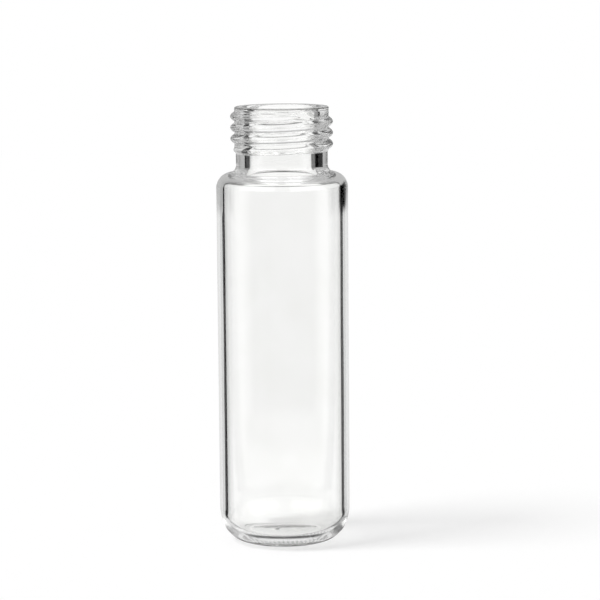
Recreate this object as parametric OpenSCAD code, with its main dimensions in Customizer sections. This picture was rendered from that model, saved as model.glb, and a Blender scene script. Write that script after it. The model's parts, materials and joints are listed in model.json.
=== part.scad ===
// Glass sample vial: a clear tube with a rounded heel, a short shoulder and a screw neck,
// formed in one piece. The outside and the inside are each one section, revolved about Z,
// and the thread is a rounded ridge that winds round the neck and fades out at both ends.
// +Z is up, and the vial stands on its foot ring at z = 0. Sizes are in millimetres,
// angles in degrees. An angle round the axis starts at +X and turns towards +Y.

/* [Body] */
// Height from the foot ring to the top of the lip
height = 75; // [60:0.5:120]
// Outer diameter of the body
body_d = 22.5; // [21:0.1:30]
// Thickness of the body wall
wall_t = 1.2; // [0.8:0.05:1.8]

/* [Base] */
// Radius of the long arc that starts to turn the side in
heel_side_r = 8; // [6:0.25:9]
// Angle that the long arc turns through
heel_side_turn = 25; // [10:1:40]
// Radius of the tighter arc that carries on down to the foot ring
heel_foot_r = 4.4; // [3:0.1:5]
// Width of the flat ring that the vial stands on
foot_ring_w = 0.6; // [0.4:0.1:1]
// Rise of the shallow dish under the base, at its middle
push_up = 0.45; // [0.2:0.05:0.8]
// Thickness of the glass over the foot ring
base_t = 1.6; // [1.2:0.1:2.5]
// Radius of the corner between the inner wall and the floor
floor_corner_r = 3.5; // [2:0.1:4]

/* [Seal mark] */
// Diameter of the small bead left on the floor where the tube was closed
bead_d = 1.3; // [0.8:0.1:2]
// Height of the bead above the floor
bead_h = 0.3; // [0.2:0.05:0.5]
// Distance of the bead from the axis
bead_offset = 1.1; // [0:0.1:2]

/* [Shoulder] */
// Outer radius of the arc that turns the body in
shoulder_r = 2.6; // [2.2:0.1:3.2]
// Radius of the outer hollow between shoulder and neck
neck_fillet_r = 1.25; // [0.8:0.05:1.8]
// Radius of the inner corner where the bore opens into the body
bore_fillet_r = 2.5; // [1.5:0.1:3]

/* [Neck] */
// Length of the neck, from the top of the shoulder hollow to the top of the lip
neck_len = 10; // [9.5:0.1:14]
// Outer diameter of the plain neck under the thread
neck_d = 15.7; // [15:0.05:15.9]
// Outer diameter of the neck between the turns of the thread, and of the lip
land_d = 16.1; // [16:0.05:16.5]
// Length of the taper from the threaded land down to the plain neck
land_taper = 0.3; // [0.2:0.05:0.6]
// Diameter of the bore
bore_d = 11.4; // [10:0.1:12]
// Radius of the lip's outer edge
lip_outer_r = 0.6; // [0.3:0.1:0.8]
// Radius of the lip's inner edge
lip_inner_r = 0.9; // [0.5:0.1:1]

/* [Thread] */
// Outer diameter over the thread
thread_d = 17.5; // [17:0.1:18]
// Rise of the thread in one turn
thread_pitch = 1.9; // [1.8:0.05:2.1]
// Width of the ridge where it leaves the neck
thread_w = 1.65; // [1.3:0.05:1.8]
// Number of turns, with the ends that fade out
thread_turns = 3.4; // [2.4:0.1:3.5]
// Angle that each end takes to fade out
thread_fade = 75; // [45:5:120]
// Angle round the axis at which the upper end stops
thread_end_angle = 303; // [0:1:359]
// Distance from the top of the lip down to the middle of the ridge at its upper end
thread_drop = 1; // [0.9:0.05:1.2]

/* [Hidden] */

$fn = 180;
glass_colour = [0.86, 0.92, 0.93, 0.45];

body_r = body_d / 2;
cavity_r = body_r - wall_t;
neck_r = neck_d / 2;
land_r = land_d / 2;
bore_r = bore_d / 2;

// Centres of the arcs of the heel, in the section's radius and height
heel_h = heel_side_r * sin(heel_side_turn) + heel_foot_r * (1 - sin(heel_side_turn));
heel_side_at = [body_r - heel_side_r, heel_h];
heel_dir = [cos(heel_side_turn), -sin(heel_side_turn)];
heel_foot_at = heel_side_at + (heel_side_r - heel_foot_r) * heel_dir;
heel_join = heel_side_at + heel_side_r * heel_dir;

// The dish under the base is part of a large sphere that ends at the foot ring
dish_r = heel_foot_at.x - foot_ring_w;
dish_ball_r = (dish_r * dish_r + push_up * push_up) / (2 * push_up);

// Outer arcs of shoulder and neck touch each other
neck_z = height - neck_len;
neck_fillet_at = [neck_r + neck_fillet_r, neck_z];
shoulder_at = touching(neck_fillet_at, shoulder_r + neck_fillet_r, body_r - shoulder_r, -1);
shoulder_join = between(shoulder_at, neck_fillet_at, shoulder_r);

// Inner arcs: the shoulder's keeps the wall's thickness, and the bore's corner touches it
inner_shoulder_r = shoulder_r - wall_t;
bore_fillet_at = touching(shoulder_at, inner_shoulder_r + bore_fillet_r, bore_r + bore_fillet_r, 1);
inner_join = between(shoulder_at, bore_fillet_at, inner_shoulder_r);
floor_corner_at = [cavity_r - floor_corner_r, base_t + floor_corner_r];

lip_outer_at = [land_r - lip_outer_r, height - lip_outer_r];
lip_inner_at = [bore_r + lip_inner_r, height - lip_inner_r];
over = 1; // what a cut runs past a face

// The ridge stands this far out of the land, and is this long
thread_h = (thread_d - land_d) / 2;
thread_sweep = 360 * thread_turns;

// The middle of the land's taper is level with the ridge's lower end
land_z = height - thread_drop - thread_pitch * thread_turns + land_taper / 2;

// The threaded skin closes the neck between two flat steps of the revolved glass, one under
// the lip and one on the plain neck. Inside it the revolved glass is a little narrower.
skin_margin = 0.1; // plain neck that the skin covers under the taper and the ridge
skin_gap = 0.3; // how much narrower the revolved glass is than the plain neck
skin_overlap = 0.5; // how far the skin reaches into the revolved glass
skin_step = 0.02; // how far the skin keeps inside the edges of the two steps
skin_sunk = 0.12; // how far its ends go into the glass past the steps
skin_top = height - lip_outer_r;
skin_foot = land_z - max(land_taper, thread_w / 2) - skin_margin;
skin_core_r = neck_r - skin_gap;
skin_inner_r = skin_core_r - skin_overlap;
skin_columns = 72;
skin_rows = 48;

// Centre of an arc at radius x and a given distance from another centre, over it or under it
function touching(other, reach, x, side) =
    [x, other.y + side * sqrt(reach * reach - pow(other.x - x, 2))];

// Point at a distance from one centre towards the other
function between(from, to, distance) = from + distance * (to - from) / norm(to - from);

// 0 at either end of the thread, 1 where it has its full height
function thread_ease(a) =
    let (t = min(1, min(a, thread_sweep - a) / thread_fade))
    t * t * (3 - 2 * t);

// Height of the ridge above the land, at an angle and a height, for one turn of the thread:
// a round-topped arch that gets narrower and lower towards both ends
function ridge_turn(a, z) =
    let (
        ease = thread_ease(a),
        middle = height - thread_drop - thread_pitch * (thread_sweep - a) / 360,
        width = thread_w * (0.6 + 0.4 * ease),
        off = z - middle
    )
    a < 0 || a > thread_sweep ? 0 : thread_h * ease * max(0, 1 - pow(2 * off / width, 2));

// Height of whichever turn of the ridge passes there
function ridge(angle, z) =
    let (first = (angle - thread_end_angle + thread_sweep) % 360)
    max([for (k = [0 : ceil(thread_turns)]) ridge_turn((first + 360) % 360 + 360 * k, z)]);

// Radius of the neck under the thread: the land, then the taper down to the plain neck
function land_at(z) =
    neck_r + (land_r - neck_r) * min(1, max(0, (z - land_z + land_taper) / land_taper));

// Radius of the threaded skin, which meets the lip and the plain neck smoothly
function skin_at(angle, z) =
    let (near_lip = min(1, (skin_top - z) / lip_outer_r * 2))
    land_at(z) - skin_step + near_lip * ridge(angle, z);

// One ring of the skin's points
function skin_ring(z, inset) = [
    for (i = [0 : skin_columns - 1])
        let (
            angle = 360 * i / skin_columns,
            r = skin_at(angle, min(skin_top, max(skin_foot, z))) - inset
        )
        [r * cos(angle), r * sin(angle), z]
];

// A plain ring of points
function round_ring(r, z) = [
    for (i = [0 : skin_columns - 1])
        let (angle = 360 * i / skin_columns)
        [r * cos(angle), r * sin(angle), z]
];

// A disc of the section, whose rim is a true arc
module disc(at, r) {
    translate(at) circle(r = r);
}

// The long arc of the heel, with the glass behind it
module heel_side() {
    reach = 2 * heel_side_r;
    intersection() {
        disc(heel_side_at, heel_side_r);
        polygon([
            heel_side_at,
            heel_side_at + reach * heel_dir,
            heel_side_at + [reach, 0]
        ]);
    }
}

// Half section of the outside, as if the vial were solid
module outside_section() {
    difference() {
        polygon([
            [0, 0],
            [heel_foot_at.x, 0],
            heel_join,
            [body_r, heel_h],
            [body_r, shoulder_at.y],
            shoulder_join,
            neck_fillet_at,
            [neck_r, neck_z],
            [neck_r, skin_foot],
            [skin_core_r, skin_foot],
            [skin_core_r, skin_top],
            [land_r, skin_top],
            [lip_outer_at.x, height],
            [0, height]
        ]);
        disc(neck_fillet_at, neck_fillet_r);
        disc([0, push_up - dish_ball_r], dish_ball_r);
    }
    heel_side();
    disc(heel_foot_at, heel_foot_r);
    disc(shoulder_at, shoulder_r);
    disc(lip_outer_at, lip_outer_r);
}

// Half section of the space inside
module inside_section() {
    difference() {
        polygon([
            [0, base_t],
            [floor_corner_at.x, base_t],
            [cavity_r, floor_corner_at.y],
            [cavity_r, shoulder_at.y],
            inner_join,
            bore_fillet_at,
            [bore_r, bore_fillet_at.y],
            [bore_r, lip_inner_at.y],
            lip_inner_at,
            [lip_inner_at.x, height + over],
            [0, height + over]
        ]);
        disc(bore_fillet_at, bore_fillet_r);
        disc(lip_inner_at, lip_inner_r);
    }
    disc(floor_corner_at, floor_corner_r);
    disc(shoulder_at, inner_shoulder_r);
}

// The low bead on the floor: the top of a small ball
module seal_bead() {
    ball_r = (pow(bead_d / 2, 2) + bead_h * bead_h) / (2 * bead_h);
    sunk = base_t / 4;
    translate([-bead_offset, 0, base_t])
        intersection() {
            translate([0, 0, bead_h - ball_r]) sphere(r = ball_r);
            translate([0, 0, -sunk]) cylinder(h = bead_h + sunk + over, r = bead_d / 2);
        }
}

// The neck's outer skin with the rounded, right-handed ridge that winds up it
module thread_skin() {
    rings = concat(
        [skin_ring(skin_foot - skin_sunk, 0)],
        [
            for (j = [0 : skin_rows])
                skin_ring(skin_foot + (skin_top - skin_foot) * j / skin_rows, 0)
        ],
        [
            skin_ring(skin_top + skin_sunk, skin_sunk),
            round_ring(skin_inner_r, skin_top + skin_sunk),
            round_ring(skin_inner_r, skin_foot - skin_sunk)
        ]
    );
    count = len(rings);
    polyhedron(
        points = [for (ring = rings) each ring],
        faces = [
            for (j = [0 : count - 1], i = [0 : skin_columns - 1])
                let (
                    k = (i + 1) % skin_columns,
                    here = j * skin_columns,
                    next = (j + 1) % count * skin_columns
                )
                each [
                    [here + i, next + i, here + k],
                    [here + k, next + i, next + k]
                ]
        ]
    );
}

module glass_vial() {
    color(glass_colour)
        union() {
            rotate_extrude()
                difference() {
                    outside_section();
                    inside_section();
                }
            seal_bead();
            thread_skin();
        }
}

glass_vial();
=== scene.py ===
"""Looks of a clear glass sample vial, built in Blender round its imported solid.

The vial is one lathed and threaded mesh that stands for the solid. It stands on a pale floor in
a plain studio: white behind the glass, darker at the sides, with one soft lamp from the left.
"""

import json
import logging
import math
from collections.abc import Callable
from dataclasses import dataclass
from enum import Enum
from functools import cached_property

import bpy
from mathutils import Matrix, Vector


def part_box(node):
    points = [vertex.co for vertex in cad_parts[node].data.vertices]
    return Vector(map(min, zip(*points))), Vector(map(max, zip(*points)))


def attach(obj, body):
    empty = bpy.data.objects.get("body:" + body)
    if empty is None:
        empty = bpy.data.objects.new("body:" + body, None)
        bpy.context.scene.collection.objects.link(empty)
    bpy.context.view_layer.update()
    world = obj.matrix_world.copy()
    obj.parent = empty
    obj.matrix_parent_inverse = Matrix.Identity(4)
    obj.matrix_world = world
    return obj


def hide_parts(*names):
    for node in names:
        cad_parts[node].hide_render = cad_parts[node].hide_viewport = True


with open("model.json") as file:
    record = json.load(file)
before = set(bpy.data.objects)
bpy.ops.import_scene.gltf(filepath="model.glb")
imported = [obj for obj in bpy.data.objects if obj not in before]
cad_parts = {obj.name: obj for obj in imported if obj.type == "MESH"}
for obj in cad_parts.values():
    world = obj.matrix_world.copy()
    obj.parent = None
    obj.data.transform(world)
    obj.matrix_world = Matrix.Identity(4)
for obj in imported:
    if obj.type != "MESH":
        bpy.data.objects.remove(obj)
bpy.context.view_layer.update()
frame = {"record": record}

MM = 0.001
# Degrees in one radian, for the angles that a node tree works out.
DEG = math.degrees(1)
log = logging.getLogger("vial")

Point = tuple[float, float]
Span = tuple[float, float]
Colour = tuple[float, float, float, float]


class Side(Enum):
    """Side of the vial that a card stands on, as the sign of its direction."""

    LEFT = -1
    RIGHT = 1


class Lift(Enum):
    """Way that part of the glass is lifted, as the Displace modifier names it."""

    OUTWARD = "NORMAL"
    UPWARD = "Z"


def grey(level: float) -> Colour:
    """An opaque grey of one linear level."""
    return (level, level, level, 1.0)


class Wire:
    """A number socket that can stand in a Python expression."""

    def __init__(self, tree: "Tree", socket: bpy.types.NodeSocket) -> None:
        """Wraps a socket.

        Args:
            tree: The tree that new Math nodes go into.
            socket: The output socket that holds the number.
        """
        self.tree = tree
        self.socket = socket

    def _math(self, operation: str, *values: "Wire | float") -> "Wire":
        """The result of one Math node on these values."""
        node = self.tree.add("ShaderNodeMath", {"operation": operation}, dict(enumerate(values)))
        return self.tree.wire(node)

    def __add__(self, other: "Wire | float") -> "Wire":
        """Sum."""
        return self._math("ADD", self, other)

    __radd__ = __add__

    def __sub__(self, other: "Wire | float") -> "Wire":
        """Difference."""
        return self._math("SUBTRACT", self, other)

    def __rsub__(self, other: float) -> "Wire":
        """Difference from a plain number."""
        return self._math("SUBTRACT", other, self)

    def __mul__(self, other: "Wire | float") -> "Wire":
        """Product."""
        return self._math("MULTIPLY", self, other)

    __rmul__ = __mul__

    def __truediv__(self, other: "Wire | float") -> "Wire":
        """Quotient."""
        return self._math("DIVIDE", self, other)

    def __pow__(self, other: "Wire | float") -> "Wire":
        """Power."""
        return self._math("POWER", self, other)

    def turn_from(self, other: "Wire") -> "Wire":
        """Angle in radians of which this is the sine part and other the cosine part."""
        return self._math("ARCTAN2", self, other)

    def size(self) -> "Wire":
        """Value without its sign."""
        return self._math("ABSOLUTE", self)

    def root(self) -> "Wire":
        """Square root."""
        return self._math("SQRT", self)

    def sine(self) -> "Wire":
        """Sine of an angle in radians."""
        return self._math("SINE", self)

    def least(self, other: "Wire | float") -> "Wire":
        """The smaller of two values."""
        return self._math("MINIMUM", self, other)

    def most(self, other: "Wire | float") -> "Wire":
        """The larger of two values."""
        return self._math("MAXIMUM", self, other)

    def rise(self, low: float, high: float) -> "Wire":
        """A smooth step that is 0 up to low and 1 from high, where low may be the larger."""
        node = self.tree.add(
            "ShaderNodeMapRange",
            {"interpolation_type": "SMOOTHSTEP"},
            {"Value": self, "From Min": low, "From Max": high},
        )
        return self.tree.wire(node)

    def band(self, ends: Span, soft: float) -> "Wire":
        """1 between two ends and 0 outside them, easing over soft on both sides of each."""
        low, high = ends
        return self.rise(low - soft, low + soft) * self.rise(high + soft, high - soft)

    def near(self, middle: float, half: float) -> "Wire":
        """1 within a third of half from a middle value, easing to 0 at half from it."""
        return (self - middle).size().rise(half, half / 3)


class Tree:
    """A node tree of a material or a world, filled node by node."""

    def __init__(self, owner: bpy.types.Material | bpy.types.World) -> None:
        """Clears the default nodes.

        Args:
            owner: What the tree belongs to.
        """
        owner.use_nodes = True
        self.nodes = owner.node_tree.nodes
        self.links = owner.node_tree.links
        self.nodes.clear()

    def add(
        self,
        kind: str,
        settings: dict[str, object] | None = None,
        sockets: dict[int | str, object] | None = None,
    ) -> bpy.types.Node:
        """Adds any node.

        Args:
            kind: The node's type.
            settings: Properties of the node, which are set first.
            sockets: A value, a Wire, a node or an output socket for each input.

        Returns:
            The new node.
        """
        node = self.nodes.new(kind)
        for name, value in (settings or {}).items():
            setattr(node, name, value)
        for name, value in (sockets or {}).items():
            if isinstance(value, Wire):
                value = value.socket
            if isinstance(value, bpy.types.Node):
                value = value.outputs[0]
            if isinstance(value, bpy.types.NodeSocket):
                self.links.new(value, node.inputs[name])
            else:
                node.inputs[name].default_value = value
        return node

    def wire(self, node: bpy.types.Node, output: int | str = 0) -> Wire:
        """One output of a node as a number for expressions."""
        return Wire(self, node.outputs[output])

    def blend(
        self,
        share: Wire,
        low: Colour | bpy.types.NodeSocket,
        high: Colour,
    ) -> bpy.types.NodeSocket:
        """A colour between two colours.

        Args:
            share: 0 gives low and 1 gives high.
            low: The first colour, or the socket that holds it.
            high: The second colour.

        Returns:
            The socket that holds the colour.
        """
        node = self.add("ShaderNodeMix", {"data_type": "RGBA"}, {"Factor": share, 6: low, 7: high})
        return node.outputs[2]

    def stretch(self, place: bpy.types.NodeSocket, across: float, along: float) -> bpy.types.Node:
        """A place scaled by one number across the upright axis and by another along it."""
        scale = (across, across, along)
        return self.add("ShaderNodeMapping", None, {"Vector": place, "Scale": scale})

    def noise(
        self,
        place: bpy.types.NodeSocket | bpy.types.Node,
        detail: float,
        scale: float = 1.0,
    ) -> Wire:
        """Soft random patches, with larger numbers for finer detail and smaller patches."""
        sockets = {"Vector": place, "Scale": scale, "Detail": detail}
        return self.wire(self.add("ShaderNodeTexNoise", None, sockets))


@dataclass(frozen=True)
class Spot:
    """A place on a surface, or a direction, as numbers for expressions."""

    x: Wire
    y: Wire
    z: Wire

    @classmethod
    def of(cls, tree: Tree, place: bpy.types.NodeSocket) -> "Spot":
        """The spot that a vector socket holds."""
        parts = tree.add("ShaderNodeSeparateXYZ", None, {0: place})
        return cls(*(tree.wire(parts, axis) for axis in "XYZ"))

    @cached_property
    def radius(self) -> Wire:
        """Distance from the upright axis."""
        return (self.x * self.x + self.y * self.y).root()

    @cached_property
    def turn(self) -> Wire:
        """Direction in radians, from +X towards +Y."""
        return self.y.turn_from(self.x)

    @cached_property
    def aside(self) -> Wire:
        """Degrees away from straight behind, which is +Y, positive to the right."""
        return self.x.turn_from(self.y) * DEG

    @cached_property
    def tilt(self) -> Wire:
        """Degrees above level."""
        return self.z.turn_from(self.radius) * DEG


@dataclass(frozen=True)
class PaintedRing:
    """A thin dark ring painted on the vial's floor as painted shade, showing over part of its turn.

    Sizes are in metres and angles in degrees from +X towards +Y. The turn's four angles are where
    the mark starts, is full, wanes and ends. Its line narrows over the angles of narrows, from
    side_half to back_half, and is at its full depth up to core of its half width.
    """

    radius: float
    turn: tuple[float, float, float, float]
    depth: float
    side_half: float = 0.18 * MM
    back_half: float = 0.09 * MM
    narrows: Span = (180.0, 90.0)
    core: float = 0.4

    def share(self, spot: Spot) -> Wire:
        """Depth of the mark at a spot, 0 to 1."""
        angle = spot.turn * DEG
        half = angle.rise(*self.narrows) * (self.back_half - self.side_half) + self.side_half
        line = ((spot.radius - self.radius).size() / half).rise(1.0, self.core)
        starts, full, wanes, ends = self.turn
        return line * angle.rise(starts, full) * angle.rise(ends, wanes) * self.depth


@dataclass(frozen=True)
class PaintedSpeck:
    """A small dark oval painted on the vial's floor near the closing bead, as painted shade.

    Its middle and its half widths are in metres. It is at its full depth up to core of them,
    measured as a square.
    """

    at: Point
    half: Point
    depth: float
    core: float = 0.3

    def share(self, spot: Spot) -> Wire:
        """Depth of the mark at a spot, 0 to 1."""
        across = (spot.x - self.at[0]) / self.half[0]
        along = (spot.y - self.at[1]) / self.half[1]
        return (across * across + along * along).rise(1.0, self.core) * self.depth


@dataclass(frozen=True)
class PaintedHeelRipple:
    """A row of short slanted dark strokes painted round the front of the heel, as painted shade.

    Middle and half are the row's height and half its width, and outside is how far from the axis
    the heel's outer skin starts, all in metres. Count is how many waves there would be all round,
    and slant is how many radians they shift by for each metre of height. A wave darkens between
    two values of its sine. The row fades out between two angles in degrees away from the front.
    """

    count: float = 80.0
    middle: float = 1.35 * MM
    half: float = 0.5 * MM
    slant: float = 2600.0
    wave: Span = (-0.1, 0.4)
    front_turn: float = -90.0
    front: Span = (105.0, 80.0)
    outside: Span = (8.6 * MM, 9.0 * MM)
    depth: float = 0.6

    def share(self, spot: Spot) -> Wire:
        """Depth of the ripple at a spot, 0 to 1."""
        waves = (spot.turn * self.count + spot.z * self.slant).sine().rise(*self.wave)
        from_front = (spot.turn * DEG - self.front_turn).size()
        row = spot.z.near(self.middle, self.half) * spot.radius.rise(*self.outside)
        return waves * row * from_front.rise(*self.front) * self.depth


@dataclass(frozen=True)
class ClearGlass:
    """Clear, fire-polished glass, with the faint unevenness that drawing and forming leave.

    A tint is what one pass through a surface keeps of the light, so it stays near white, and
    soft clouds lead from tint to tint_deep. As painted shade, the inner skin is painted dark where
    it is seen edge-on, which gives the dark line inside the wall, a thin ring round the rim is
    painted dark, and dark ring lines, an oval and strokes round the heel are painted on as well.
    The outside of the threaded neck is a little rougher where it turns away. Drawing left fine
    lines along the tube and forming left soft waves, and their depths are shares of bump_reach.

    What a lamp loses on its way through is shade_face where it meets the glass head on, and up
    to shade_edge more where it grazes it. Heights, radii and soft edges are in metres. The inner
    skin lies within inner_wide of the axis, and from inner_turn up within inner_narrow.
    """

    name: str = "clear_glass"
    bend: float = 1.5
    tint: Colour = (0.992, 0.993, 0.988, 1.0)
    tint_deep: Colour = (0.975, 0.977, 0.968, 1.0)
    cloud_scale: float = 120.0
    cloud_detail: float = 3.0
    cloud_from: Span = (0.42, 0.68)
    # Colour of the painted shade: ring lines, the oval and the heel strokes.
    painted_mark: Colour = (0.06, 0.06, 0.06, 1.0)
    # Painted shade: dark ring lines on the floor inside the glass.
    painted_rings: tuple[PaintedRing, ...] = (
        PaintedRing(radius=7.2 * MM, turn=(60.0, 85.0, 168.0, 180.0), depth=1.0),
        PaintedRing(radius=6.5 * MM, turn=(80.0, 100.0, 160.0, 176.0), depth=0.8),
    )
    # Painted shade: a dark oval on the floor by the closing bead.
    painted_specks: tuple[PaintedSpeck, ...] = (
        PaintedSpeck(at=(-1.35 * MM, -1.6 * MM), half=(0.55 * MM, 1.05 * MM), depth=1.0),
    )
    floor_z: Span = (1.3 * MM, 2.5 * MM)
    floor_soft: float = 0.1 * MM
    # Painted shade: dark strokes round the front of the heel.
    painted_ripple: PaintedHeelRipple = PaintedHeelRipple()
    # Colour of the painted shade ring round the rim.
    rim: Colour = (0.12, 0.12, 0.115, 1.0)
    rim_edge: Span = (74.77 * MM, 74.96 * MM)
    rim_soft: float = 0.03 * MM
    # Colour of the painted shade where the inner skin is seen edge-on.
    edge_on_shade: Colour = (0.002, 0.002, 0.002, 1.0)
    glance_from: Span = (0.77, 0.84)
    inner_wide: float = 10.6 * MM
    inner_narrow: float = 6.8 * MM
    inner_turn: Span = (61.5 * MM, 65.0 * MM)
    inner_soft: float = 0.1 * MM
    formed: float = 0.12
    formed_side: Span = (0.12, 0.5)
    formed_from: Span = (66.4 * MM, 67.6 * MM)
    bump_reach: float = 1.0 * MM
    draw_scale: float = 900.0
    draw_length_scale: float = 24.0
    draw_detail: float = 2.0
    draw_depth: float = 0.004
    form_scale: float = 190.0
    form_detail: float = 1.0
    form_depth: float = 0.0025
    shade_face: float = 0.035
    shade_edge: float = 0.95
    shade_power: float = 2.5

    def build(self) -> bpy.types.Material:
        """Makes the glass and what it leaves of a lamp's light behind it.

        Returns:
            The finished material.
        """
        material = bpy.data.materials.new(self.name)
        tree = Tree(material)
        place = tree.add("ShaderNodeTexCoord").outputs["Object"]
        spot = Spot.of(tree, place)
        facing = tree.wire(tree.add("ShaderNodeLayerWeight"), "Facing")
        inside = self._inside(spot)
        formed = spot.z.rise(*self.formed_from) * (1 - inside) * facing.rise(*self.formed_side)
        clouds = tree.noise(place, self.cloud_detail, self.cloud_scale)
        tinted = tree.blend(clouds.rise(*self.cloud_from), self.tint, self.tint_deep)
        # Painted shade: dark ring lines, an oval and heel strokes mixed into the glass colour.
        shade_painted = tree.blend(self._painted_marks(spot), tinted, self.painted_mark)
        # Painted shade: a thin dark ring round the rim.
        rim = spot.z.band(self.rim_edge, self.rim_soft) * (1 - inside)
        rim_shaded = tree.blend(rim, shade_painted, self.rim)
        # Painted shade: the dark line inside the wall, where the inner skin is seen edge-on.
        edge_on_shaded = facing.rise(*self.glance_from) * inside
        glass = tree.add(
            "ShaderNodeBsdfPrincipled",
            None,
            {
                "Base Color": tree.blend(edge_on_shaded, rim_shaded, self.edge_on_shade),
                "Roughness": formed * self.formed,
                "IOR": self.bend,
                "Transmission Weight": 1.0,
                "Normal": self._bump(tree, place),
            },
        )
        shade = facing**self.shade_power * self.shade_edge + self.shade_face
        shadow = tree.wire(tree.add("ShaderNodeLightPath"), "Is Shadow Ray")
        clear = tree.add("ShaderNodeBsdfTransparent")
        mixed = tree.add("ShaderNodeMixShader", None, {0: shadow * (1 - shade), 1: glass, 2: clear})
        tree.add("ShaderNodeOutputMaterial", None, {"Surface": mixed})
        return material

    def _inside(self, spot: Spot) -> Wire:
        """1 on the inner skin and 0 on the outer one, told apart by the radius at a height."""
        narrowing = self.inner_wide - self.inner_narrow
        limit = self.inner_wide - spot.z.rise(*self.inner_turn) * narrowing
        return (limit - spot.radius).rise(0.0, self.inner_soft)

    def _painted_marks(self, spot: Spot) -> Wire:
        """Depth of the painted shade marks at a spot, 0 to 1."""
        on_floor = spot.z.band(self.floor_z, self.floor_soft)
        marks = sum(painted_mark.share(spot) for painted_mark in self.painted_rings + self.painted_specks) * on_floor
        return (marks + self.painted_ripple.share(spot)).least(1.0)

    def _bump(self, tree: Tree, place: bpy.types.NodeSocket) -> bpy.types.Node:
        """The unevenness of the surface.

        Args:
            tree: The material's tree.
            place: The socket that holds the object coordinates.

        Returns:
            The node whose output is the bent normal.
        """
        stretched = tree.stretch(place, self.draw_scale, self.draw_length_scale)
        drawn = tree.noise(stretched, self.draw_detail)
        formed = tree.noise(place, self.form_detail, self.form_scale)
        height = drawn * self.draw_depth + formed * self.form_depth
        return tree.add("ShaderNodeBump", None, {"Height": height, "Distance": self.bump_reach})


def arc(centre: Point, radius: float, start: float, end: float, steps: int) -> list[Point]:
    """Points along an arc of the section, without its first point.

    Args:
        centre: The arc's centre, as radius and height.
        radius: The arc's own radius.
        start: The angle in degrees where it starts.
        end: The angle in degrees where it ends.
        steps: How many stretches it is made of.

    Returns:
        The points, in order.
    """
    angles = [math.radians(start + (end - start) * i / steps) for i in range(1, steps + 1)]
    return [(centre[0] + radius * math.cos(a), centre[1] + radius * math.sin(a)) for a in angles]


def line(start: Point, end: Point, steps: int) -> list[Point]:
    """Points along a straight stretch of the section, without its first point."""
    run, rise = end[0] - start[0], end[1] - start[1]
    return [(start[0] + run * i / steps, start[1] + rise * i / steps) for i in range(1, steps + 1)]


def angle_between(start: Point, end: Point) -> float:
    """Angle in degrees of the direction from one point to another."""
    return math.degrees(math.atan2(end[1] - start[1], end[0] - start[0]))


@dataclass
class Thread:
    """The rounded right-hand ridge on the neck, as a height over the land.

    Sizes are in metres. The upper end of the ridge lies drop below the top, in the direction
    end_deg. Over fade_deg at either end the ridge eases to nothing, and its width shrinks to
    end_width of the full one. It also eases to nothing over lip_fade, to leave clear_of_lip plain.
    """

    top_z: float
    land_d: float = 16.1 * MM
    crest_d: float = 17.5 * MM
    pitch: float = 1.9 * MM
    width: float = 1.65 * MM
    end_width: float = 0.6
    clear_of_lip: float = 0.6 * MM
    lip_fade: float = 0.3 * MM
    turns: float = 3.4
    fade_deg: float = 75.0
    end_deg: float = 303.0
    drop: float = 1.0 * MM

    @property
    def height(self) -> float:
        """How far the crest stands out of the land."""
        return (self.crest_d - self.land_d) / 2

    @property
    def sweep_deg(self) -> float:
        """The whole angle that the ridge winds through."""
        return 360 * self.turns

    @property
    def foot_z(self) -> float:
        """Height of the middle of the ridge at its lower end."""
        return self.top_z - self.drop - self.pitch * self.turns

    @property
    def ridge_top(self) -> float:
        """Height that no part of the ridge passes, so that the lip stays plain."""
        return self.top_z - self.clear_of_lip

    def ease(self, angle: float) -> float:
        """0 at either end of the ridge and 1 where it has its full height."""
        t = min(1.0, min(angle, self.sweep_deg - angle) / self.fade_deg)
        return t * t * (3 - 2 * t)

    def turn_share(self, angle: float, z: float) -> float:
        """Share of the full height that one turn has at an angle along it and a height."""
        if not 0 <= angle <= self.sweep_deg:
            return 0.0
        ease = self.ease(angle)
        middle = self.top_z - self.drop - self.pitch * (self.sweep_deg - angle) / 360
        width = self.width * (self.end_width + (1 - self.end_width) * ease)
        return ease * max(0.0, 1 - (2 * (z - middle) / width) ** 2)

    def share(self, spot: Vector) -> float:
        """Share of the full height at a spot on the neck, from whichever turn passes there."""
        angle = math.degrees(math.atan2(spot.y, spot.x))
        first = (angle - self.end_deg + self.sweep_deg) % 360
        turns = range(math.ceil(self.turns) + 1)
        near_lip = min(1.0, (self.ridge_top - spot.z) / self.lip_fade)
        return near_lip * max(self.turn_share(first + 360 * k, spot.z) for k in turns)


@dataclass(frozen=True)
class Rows:
    """How many rows of faces each stretch of the section gets, in order from dish to bead.

    The wall's number holds for both of its skins.
    """

    dish: int = 12
    foot_ring: int = 2
    heel_foot: int = 22
    heel_side: int = 12
    wall: int = 10
    shoulder: int = 22
    neck_fillet: int = 12
    plain_neck: int = 3
    ridge_end: int = 10
    taper: int = 6
    land: int = 100
    lip_outer: int = 8
    lip_inner: int = 10
    bore: int = 6
    bore_fillet: int = 16
    inner_shoulder: int = 14
    floor_corner: int = 22
    floor: int = 6
    bead: int = 30


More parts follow.
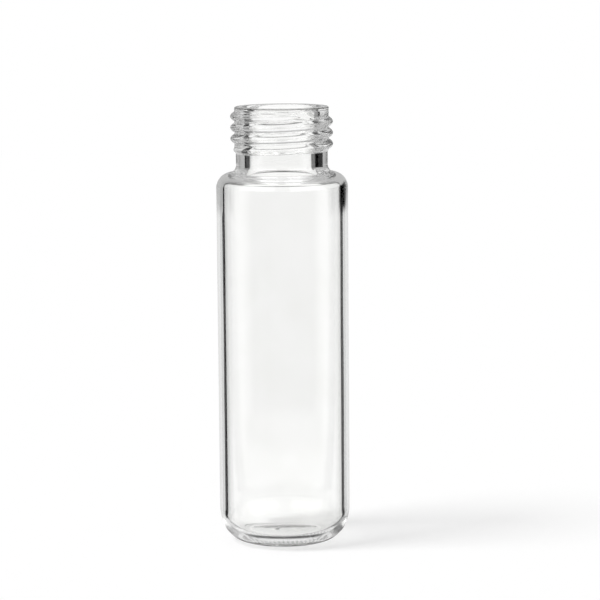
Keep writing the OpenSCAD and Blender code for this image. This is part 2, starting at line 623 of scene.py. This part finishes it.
@dataclass
class GlassVial:
    """The vial: one lathed glass wall with a threaded neck and a bead on its floor.

    Sizes are in metres. Height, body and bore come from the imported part. The heel is an arc of
    heel_side_r over heel_side_turn degrees from the wall down, and then one of heel_foot_r.
    """

    height: float
    body_d: float
    bore_d: float
    thread: Thread
    wall_t: float = 1.2 * MM
    heel_side_r: float = 8.0 * MM
    heel_side_turn: float = 25.0
    heel_foot_r: float = 4.4 * MM
    foot_ring_w: float = 0.6 * MM
    push_up: float = 0.45 * MM
    base_t: float = 1.6 * MM
    floor_corner_r: float = 3.5 * MM
    bead_d: float = 1.3 * MM
    bead_h: float = 0.3 * MM
    bead_offset: float = 1.1 * MM
    bead_fullness: float = 0.8
    shoulder_r: float = 2.6 * MM
    neck_fillet_r: float = 1.25 * MM
    bore_fillet_r: float = 2.5 * MM
    neck_len: float = 10.0 * MM
    neck_d: float = 15.7 * MM
    land_taper: float = 0.3 * MM
    lip_outer_r: float = 0.3 * MM
    lip_inner_r: float = 0.9 * MM
    columns: int = 256
    rows: Rows = Rows()
    weld: float = 0.002 * MM
    name: str = "vial_glass"

    def build(self, finish: bpy.types.Material) -> bpy.types.Object:
        """Lathes the wall, raises the thread and the bead on it and dresses it.

        Args:
            finish: The material of the glass.

        Returns:
            The finished vial.
        """
        vial = self._lathe(self._outside() + self._inside())
        self._raise(vial, "thread", self._thread_share, self.thread.height, Lift.OUTWARD)
        self._raise(vial, "bead", self._bead_share, self.bead_h, Lift.UPWARD)
        bpy.ops.object.shade_smooth()
        vial.data.materials.append(finish)
        return vial

    def _outside(self) -> list[Point]:
        """Section of the outside, from the middle of the dish up to the lip's flat top."""
        rows = self.rows
        neck_r = self.neck_d / 2
        land_r = self.thread.land_d / 2
        heel_side_at, heel_foot_at = self._heel_at()
        dish_r = heel_foot_at[0] - self.foot_ring_w
        ball_r = (dish_r**2 + self.push_up**2) / (2 * self.push_up)
        dish_edge = 90 - math.degrees(math.asin(dish_r / ball_r))
        fillet_at = self._fillet_at()
        shoulder_at = self._shoulder_at()
        lean = angle_between(shoulder_at, fillet_at)
        ridge_foot = self.thread.foot_z - self.thread.width / 2
        land_z = self.thread.foot_z + self.land_taper / 2
        lip_foot = self.height - self.lip_outer_r
        lip_at = (land_r - self.lip_outer_r, lip_foot)
        turn = self.heel_side_turn
        points = [(0.0, self.push_up)]
        points += arc((0, self.push_up - ball_r), ball_r, 90, dish_edge, rows.dish)
        points += line(points[-1], (heel_foot_at[0], 0), rows.foot_ring)
        points += arc(heel_foot_at, self.heel_foot_r, -90, -turn, rows.heel_foot)
        points += arc(heel_side_at, self.heel_side_r, -turn, 0, rows.heel_side)
        points += line(points[-1], (self.body_d / 2, shoulder_at[1]), rows.wall)
        points += arc(shoulder_at, self.shoulder_r, 0, lean, rows.shoulder)
        points += arc(fillet_at, self.neck_fillet_r, lean + 180, 180, rows.neck_fillet)
        points += line(points[-1], (neck_r, ridge_foot), rows.plain_neck)
        points += line(points[-1], (neck_r, land_z - self.land_taper), rows.ridge_end)
        points += line(points[-1], (land_r, land_z), rows.taper)
        points += line(points[-1], (land_r, lip_foot), rows.land)
        points += arc(lip_at, self.lip_outer_r, 0, 90, rows.lip_outer)
        return points

    def _inside(self) -> list[Point]:
        """Section of the inside, from the lip's flat top down to the middle of the floor."""
        rows = self.rows
        cavity_r = self.body_d / 2 - self.wall_t
        bore_r = self.bore_d / 2
        shoulder_at = self._shoulder_at()
        shoulder_r = self.shoulder_r - self.wall_t
        reach = shoulder_r + self.bore_fillet_r
        fillet_x = bore_r + self.bore_fillet_r
        rise = math.sqrt(reach**2 - (shoulder_at[0] - fillet_x) ** 2)
        fillet_at = (fillet_x, shoulder_at[1] + rise)
        lean = angle_between(fillet_at, shoulder_at) % 360
        lip_at = (bore_r + self.lip_inner_r, self.height - self.lip_inner_r)
        corner_at = (cavity_r - self.floor_corner_r, self.base_t + self.floor_corner_r)
        bead_reach = self.bead_offset + self.bead_d
        points = [(lip_at[0], self.height)]
        points += arc(lip_at, self.lip_inner_r, 90, 180, rows.lip_inner)
        points += line(points[-1], (bore_r, fillet_at[1]), rows.bore)
        points += arc(fillet_at, self.bore_fillet_r, 180, lean, rows.bore_fillet)
        points += arc(shoulder_at, shoulder_r, lean - 180, 0, rows.inner_shoulder)
        points += line(points[-1], (cavity_r, corner_at[1]), rows.wall)
        points += arc(corner_at, self.floor_corner_r, 0, -90, rows.floor_corner)
        points += line(points[-1], (bead_reach, self.base_t), rows.floor)
        points += line(points[-1], (0, self.base_t), rows.bead)
        return points

    def _heel_at(self) -> tuple[Point, Point]:
        """Centres of the heel's two arcs, which touch: the one at the side, then the foot's."""
        turn = math.radians(self.heel_side_turn)
        height = self.heel_side_r * math.sin(turn) + self.heel_foot_r * (1 - math.sin(turn))
        side_at = (self.body_d / 2 - self.heel_side_r, height)
        step_in = self.heel_side_r - self.heel_foot_r
        foot_at = (side_at[0] + step_in * math.cos(turn), side_at[1] - step_in * math.sin(turn))
        return side_at, foot_at

    def _fillet_at(self) -> Point:
        """Centre of the outer hollow between shoulder and neck."""
        return (self.neck_d / 2 + self.neck_fillet_r, self.height - self.neck_len)

    def _shoulder_at(self) -> Point:
        """Centre of the shoulder's arcs, where the outer one touches the hollow's."""
        fillet_at = self._fillet_at()
        x = self.body_d / 2 - self.shoulder_r
        reach = self.shoulder_r + self.neck_fillet_r
        return (x, fillet_at[1] - math.sqrt(reach**2 - (fillet_at[0] - x) ** 2))

    def _lathe(self, section: list[Point]) -> bpy.types.Object:
        """Draws the section point by point and spins it into a closed wall.

        Args:
            section: Points as radius and height, from one end on the axis to the other.

        Returns:
            The wall, with its normals outwards.
        """
        bpy.ops.object.select_all(action="DESELECT")
        bpy.ops.mesh.primitive_plane_add(size=self.wall_t, location=(0, 0, 0))
        wall = bpy.context.active_object
        wall.name = self.name
        wall.data.name = self.name
        bpy.ops.object.mode_set(mode="EDIT")
        bpy.ops.mesh.merge(type="CENTER")
        bpy.ops.transform.translate(value=(section[0][0], 0, section[0][1]))
        for start, end in zip(section, section[1:]):
            step = (end[0] - start[0], 0, end[1] - start[1])
            bpy.ops.mesh.extrude_region_move(TRANSFORM_OT_translate={"value": step})
        bpy.ops.mesh.select_all(action="SELECT")
        bpy.ops.mesh.spin(steps=self.columns, angle=math.tau, center=(0, 0, 0), axis=(0, 0, 1))
        bpy.ops.mesh.select_all(action="SELECT")
        bpy.ops.mesh.remove_doubles(threshold=self.weld)
        bpy.ops.mesh.normals_make_consistent(inside=False)
        bpy.ops.object.mode_set(mode="OBJECT")
        return wall

    def _raise(
        self,
        vial: bpy.types.Object,
        name: str,
        share_at: Callable[[Vector], float],
        height: float,
        lift: Lift,
    ) -> None:
        """Lifts part of the surface by a weighted displacement and applies it.

        Args:
            vial: The glass wall.
            name: Name of the vertex group that holds the weights.
            share_at: Share of the full height at a spot.
            height: The full height.
            lift: The way that the surface goes.
        """
        group = vial.vertex_groups.new(name=name)
        for vertex in vial.data.vertices:
            share = share_at(vertex.co)
            if share > 0:
                group.add([vertex.index], share, "REPLACE")
        displace = vial.modifiers.new(name, "DISPLACE")
        displace.vertex_group = name
        displace.direction = lift.value
        displace.mid_level = 0
        displace.strength = height
        bpy.ops.object.modifier_apply(modifier=name)
        vial.vertex_groups.remove(vial.vertex_groups[name])

    def _thread_share(self, spot: Vector) -> float:
        """Share of the thread's height at a spot of the surface, 0 off the neck's outside."""
        on_neck = self.thread.foot_z - self.thread.width < spot.z < self.thread.ridge_top
        outside = math.hypot(spot.x, spot.y) >= self.neck_d / 2 - self.wall_t / 2
        return self.thread.share(spot) if on_neck and outside else 0.0

    def _bead_share(self, spot: Vector) -> float:
        """Share of the bead's height at a spot of the surface: a low dome on the floor."""
        if abs(spot.z - self.base_t) > self.bead_h / 2:
            return 0.0
        off = math.hypot(spot.x + self.bead_offset, spot.y) / (self.bead_d / 2)
        return math.cos(math.pi / 2 * off) ** self.bead_fullness if off < 1 else 0.0


@dataclass(frozen=True)
class DarkCard:
    """A dark card beside the vial, or the shade of one, as the glass shows it.

    Angles are degrees away from straight behind the vial. The card has two parts, from inner to
    middle and from middle to outer, each with its own brightness. Their edges ease over soft on
    both sides.
    """

    side: Side
    inner: float
    middle: float
    outer: float
    first: float
    second: float
    soft: float = 3.0

    def share(self, turn: Wire, lean: Wire | float = 0.0) -> Wire:
        """How dark the card makes a direction.

        Args:
            turn: Direction in degrees away from straight behind, positive to the right.
            lean: Degrees that a spot on the floor lies further round than the ray points.

        Returns:
            0 where the card isn't, to 1 where it is black.
        """
        away = turn * self.side.value - lean
        starts = away.rise(self.inner - self.soft, self.inner + self.soft) * (1 - self.first)
        changes = away.rise(self.middle - self.soft, self.middle + self.soft)
        ends = away.rise(self.outer - self.soft, self.outer + self.soft)
        return (starts + changes * (self.first - self.second)) * (1 - ends)


@dataclass
class Studio:
    """White surroundings with dark cards at the sides, a pale floor and one soft lamp.

    The eye sees plain white, and only the glass sees the rest. Spans in degrees are directions
    away from straight behind, or heights above level, over which a part of the room fades in or
    out. Spans in metres are distances on the floor from the vial's axis. A level is a brightness,
    where 1 is white, and haze and glow are what is taken from it or added.

    A ray that the glass has mirrored finds the cards, the softer room above them up to room_top,
    a dimmer front below front_top, a haze behind and a glow at both sides of the front. On the
    floor it finds the cards' shades near the vial, turned by what the wall, wall_off from the
    axis, adds to their direction, and the cards themselves beyond card_foot. It also finds a
    painted shadow that makes the floor darker under the heel and the foot, and painted shade
    that makes it grey beside the foot. A ray that only passed through the glass finds the cards
    of through, and a dimmer room overhead.

    The lamp and the room light the floor by lit_share of its white. The rest is its own, which
    keeps the shadow pale.
    """

    floor_size: float = 1.7
    floor_cuts: int = 3
    cards: tuple[DarkCard, ...] = (
        DarkCard(Side.LEFT, inner=42.0, middle=50.0, outer=80.0, first=0.0, second=0.0, soft=2.0),
        DarkCard(Side.RIGHT, inner=18.0, middle=25.0, outer=86.0, first=0.02, second=0.0),
    )
    through: tuple[DarkCard, ...] = (
        DarkCard(Side.LEFT, inner=33.0, middle=40.0, outer=72.0, first=0.1, second=0.0),
        DarkCard(Side.RIGHT, inner=23.0, middle=45.0, outer=72.0, first=0.12, second=0.0, soft=1.5),
    )
    shades: tuple[DarkCard, ...] = (
        DarkCard(Side.LEFT, inner=37.5, middle=45.0, outer=67.0, first=0.0, second=0.0, soft=2.5),
        DarkCard(Side.RIGHT, inner=37.0, middle=47.0, outer=67.0, first=0.0, second=0.3, soft=2.0),
    )
    room: tuple[DarkCard, ...] = (
        DarkCard(Side.LEFT, inner=22.0, middle=40.0, outer=78.0, first=0.45, second=0.25, soft=6.0),
        DarkCard(Side.RIGHT, inner=25.0, middle=50.0, outer=75.0, first=0.65, second=0.7, soft=8.0),
    )
    card_top: Span = (5.0, 11.0)
    card_foot: Span = (550.0 * MM, 750.0 * MM)
    room_top: Span = (38.0, 62.0)
    overhead: Span = (18.0, 32.0)
    overhead_level: float = 0.4
    front_turn: Span = (103.0, 118.0)
    front_top: Span = (4.0, 10.0)
    front_from: Span = (85.0 * MM, 115.0 * MM)
    front_level: float = 0.4
    haze_turn: Span = (60.0, 80.0)
    haze_top: Span = (38.0, 60.0)
    haze: float = 0.5
    floor_haze: float = 0.2
    glow_turn: Span = (100.0, 165.0)
    glow_height: Span = (6.0, 50.0)
    glow_soft: float = 5.0
    glow: float = 1.2
    shade_from: Span = (16.0 * MM, 28.0 * MM)
    wall_off: float = 10.1 * MM
    # Painted shadow under the heel and foot, and painted shade beside the foot.
    under_heel: float = 8.35 * MM
    under_heel_half: float = 0.75 * MM
    under_heel_level: float = 0.15
    under_foot: Span = (8.4 * MM, 7.8 * MM)
    under_foot_level: float = 0.92
    beside_foot: Span = (10.0 * MM, 11.5 * MM)
    beside_end: Span = (20.0 * MM, 27.0 * MM)
    beside_turn: Span = (32.0, 50.0)
    beside_left_level: float = 0.72
    beside_right_level: float = 0.42
    lamp_azimuth: float = 18.0
    lamp_height: float = 54.3
    lamp_spread: float = 21.0
    lit_share: float = 0.4
    room_light: float = 0.35
    bounces: int = 28
    mirror_bounces: int = 20
    through_bounces: int = 16

    def build(self) -> None:
        """Makes the world, the lamp and the floor, and lets light turn often inside the glass."""
        self._world()
        self._lamp()
        self._floor()
        bpy.context.scene.cycles.max_bounces = self.bounces
        bpy.context.scene.cycles.glossy_bounces = self.mirror_bounces
        bpy.context.scene.cycles.transmission_bounces = self.through_bounces

    @staticmethod
    def _dark(cards: tuple[DarkCard, ...], turn: Wire, lean: Wire | float = 0.0) -> Wire:
        """Darkness of a set of cards by direction, 0 to 1."""
        return sum(card.share(turn, lean) for card in cards)

    def _world(self) -> None:
        """The surroundings: plain white to the eye, with dark cards in what the glass mirrors."""
        world = bpy.data.worlds.new("studio")
        bpy.context.scene.world = world
        tree = Tree(world)
        way = Spot.of(tree, tree.add("ShaderNodeTexCoord").outputs["Generated"])
        path = tree.add("ShaderNodeLightPath")
        mirrored = tree.wire(path, "Glossy Depth").least(1.0)
        straight = tree.wire(path, "Is Camera Ray")
        bent = tree.wire(path, "Is Glossy Ray").most(tree.wire(path, "Is Transmission Ray"))
        above = way.tilt.rise(*self.card_top)
        glassy = mirrored * self._mirrored_room(way, above)
        glassy += (1 - mirrored) * self._passed_room(way, above)
        level = straight + bent * glassy + (1 - straight.most(bent)) * self.room_light
        sky = tree.add("ShaderNodeBackground", None, {"Color": grey(1.0), "Strength": level})
        tree.add("ShaderNodeOutputWorld", None, {"Surface": sky})

    def _mirrored_room(self, way: Spot, above: Wire) -> Wire:
        """Brightness of the room to a ray that the glass has mirrored.

        Args:
            way: The ray's direction.
            above: 0 level with the cards, to 1 over their tops.

        Returns:
            The brightness, where 1 is white.
        """
        away = way.aside.size()
        beside = self._dark(self.cards, way.aside) * (1 - above)
        beside += self._dark(self.room, way.aside) * above
        front = away.rise(*self.front_turn) * (1 - way.tilt.rise(*self.front_top))
        dark = (beside + front * (1 - self.front_level)) * (1 - way.tilt.rise(*self.room_top))
        haze = (1 - away.rise(*self.haze_turn)) * (1 - way.tilt.rise(*self.haze_top)) * self.haze
        glow = away.band(self.glow_turn, self.glow_soft)
        glow *= way.tilt.band(self.glow_height, self.glow_soft)
        return 1 - dark.most(haze) + glow * self.glow

    def _passed_room(self, way: Spot, above: Wire) -> Wire:
        """Brightness of the room to a ray that only passed through the glass.

        Args:
            way: The ray's direction.
            above: 0 level with the cards, to 1 over their tops.

        Returns:
            The brightness, where 1 is white.
        """
        over = way.tilt.rise(*self.overhead) * (1 - self.overhead_level)
        return 1 - (self._dark(self.through, way.aside) * (1 - above)).most(over)

    def _lamp(self) -> None:
        """The soft lamp from the upper left, in front."""
        bpy.ops.object.light_add(type="SUN")
        lamp = bpy.context.active_object
        lamp.name = "soft_lamp"
        away, down = math.radians(self.lamp_azimuth), math.radians(self.lamp_height)
        level = math.cos(down)
        run = Vector((math.cos(away) * level, math.sin(away) * level, -math.sin(down)))
        lamp.rotation_mode = "QUATERNION"
        lamp.rotation_quaternion = run.to_track_quat("-Z", "Y")
        lamp.data.energy = math.pi * (1 - self.room_light) / math.sin(down)
        lamp.data.angle = math.radians(self.lamp_spread)
        lamp.visible_glossy = False
        lamp.visible_transmission = False

    def _floor(self) -> None:
        """The pale floor that the vial stands on."""
        bpy.ops.object.select_all(action="DESELECT")
        bpy.ops.mesh.primitive_plane_add(size=self.floor_size, location=(0, 0, 0))
        floor = bpy.context.active_object
        floor.name = "floor"
        bpy.ops.object.mode_set(mode="EDIT")
        bpy.ops.mesh.subdivide(number_cuts=self.floor_cuts)
        bpy.ops.object.mode_set(mode="OBJECT")
        floor.data.materials.append(self._floor_finish())

    def _floor_finish(self) -> bpy.types.Material:
        """White with a soft shadow, and dark to the glass where the cards stand.

        Returns:
            The finished material.
        """
        material = bpy.data.materials.new("floor")
        tree = Tree(material)
        spot = Spot.of(tree, tree.add("ShaderNodeTexCoord").outputs["Object"])
        path = tree.add("ShaderNodeLightPath")
        mirrored = tree.wire(path, "Glossy Depth").least(1.0)
        far = spot.radius.rise(*self.card_foot)
        passed = tree.wire(path, "Is Transmission Ray") * self._dark(self.through, spot.aside) * far
        pale = tree.add(
            "ShaderNodeBsdfPrincipled",
            None,
            {
                "Base Color": grey(self.lit_share),
                "Roughness": 1.0,
                "Specular IOR Level": 0.0,
                "Emission Color": grey(1 - self.lit_share),
                "Emission Strength": 1.0,
            },
        )
        dark = tree.add("ShaderNodeBsdfDiffuse", None, {"Color": grey(0.0)})
        share = mirrored * self._mirrored_floor(spot, far) + (1 - mirrored) * passed
        surface = tree.add("ShaderNodeMixShader", None, {0: share, 1: pale, 2: dark})
        tree.add("ShaderNodeOutputMaterial", None, {"Surface": surface})
        return material

    def _mirrored_floor(self, spot: Spot, far: Wire) -> Wire:
        """Darkness of the floor to a ray that the glass has mirrored.

        Args:
            spot: The place on the floor.
            far: 0 near the vial, to 1 where the cards stand.

        Returns:
            0 where the floor stays pale, to 1 where it is black.
        """
        radius, turn = spot.radius, spot.aside
        lean = (radius**-1) * (self.wall_off * DEG)
        clear_of_vial = radius.rise(*self.shade_from)
        shade = self._dark(self.shades, turn, lean) * clear_of_vial * (1 - far)
        cards = self._dark(self.cards, turn) * far
        front = turn.size().rise(*self.front_turn) * radius.rise(*self.front_from)
        # Painted shadow: the floor darker under the heel and the foot, which only the glass sees.
        heel = radius.near(self.under_heel, self.under_heel_half) * (1 - self.under_heel_level)
        foot = radius.rise(*self.under_foot) * (1 - self.under_foot_level)
        haze = ((1 - far) * self.floor_haze + far * self.haze) * clear_of_vial
        haze *= 1 - turn.size().rise(*self.haze_turn)
        # Painted shade: grey beside the foot, which only the glass sees.
        beside = turn.rise(*self.beside_turn) * (1 - self.beside_right_level)
        beside += (turn * -1).rise(*self.beside_turn) * (1 - self.beside_left_level)
        beside *= radius.rise(*self.beside_foot) * (1 - radius.rise(*self.beside_end))
        dark = shade + cards + front * (1 - self.front_level) + heel.most(foot)
        return dark.most(haze).most(beside)


@dataclass
class Viewpoint:
    """The photograph's camera: a long lens that looks a little down on the vial.

    Distance, height and the nearest distance that shows are in metres, and lens and sensor in
    millimetres.
    """

    distance: float = 430.4 * MM
    height: float = 101.3 * MM
    down_deg: float = 7.882
    aside_deg: float = 0.386
    roll_deg: float = 0.455
    lens: float = 151.74
    sensor: float = 36.0
    nearest: float = 10.0 * MM

    def build(self) -> None:
        """Adds the camera and makes it the scene's own."""
        bpy.ops.object.camera_add(location=(0, -self.distance, self.height))
        camera = bpy.context.active_object
        camera.name = "camera"
        camera.rotation_mode = "QUATERNION"
        level = Matrix.Rotation(math.radians(90 - self.down_deg), 3, "X")
        aside = Matrix.Rotation(math.radians(-self.aside_deg), 3, "Z")
        roll = Matrix.Rotation(math.radians(-self.roll_deg), 3, "Z")
        camera.rotation_quaternion = (aside @ level @ roll).to_quaternion()
        camera.data.lens = self.lens
        camera.data.sensor_width = self.sensor
        camera.data.clip_start = self.nearest
        bpy.context.scene.camera = camera


def bore_diameter() -> float:
    """Diameter of the stated bore of the mouth, in metres."""
    mounts = frame["record"]["mounts"]
    mouth = next(mount for mount in mounts if mount["name"] == "mouth")
    return 2 * mouth["dims"]["r_mm"] * MM


def main() -> None:
    """Builds the vial, the studio and the camera in order."""
    logging.basicConfig(level=logging.INFO, format="%(name)s: %(message)s")
    bpy.context.scene.view_settings.view_transform = "Standard"
    low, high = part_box("glass_vial")
    height = high.z - low.z
    vial = GlassVial(
        height=height,
        body_d=max(high.x - low.x, high.y - low.y),
        bore_d=bore_diameter(),
        thread=Thread(top_z=height),
    )
    piece = vial.build(ClearGlass().build())
    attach(piece, "root")
    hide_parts("glass_vial")
    log.info("%s has %d faces", piece.name, len(piece.data.polygons))
    Studio().build()
    Viewpoint().build()


if __name__ == "__main__":
    main()
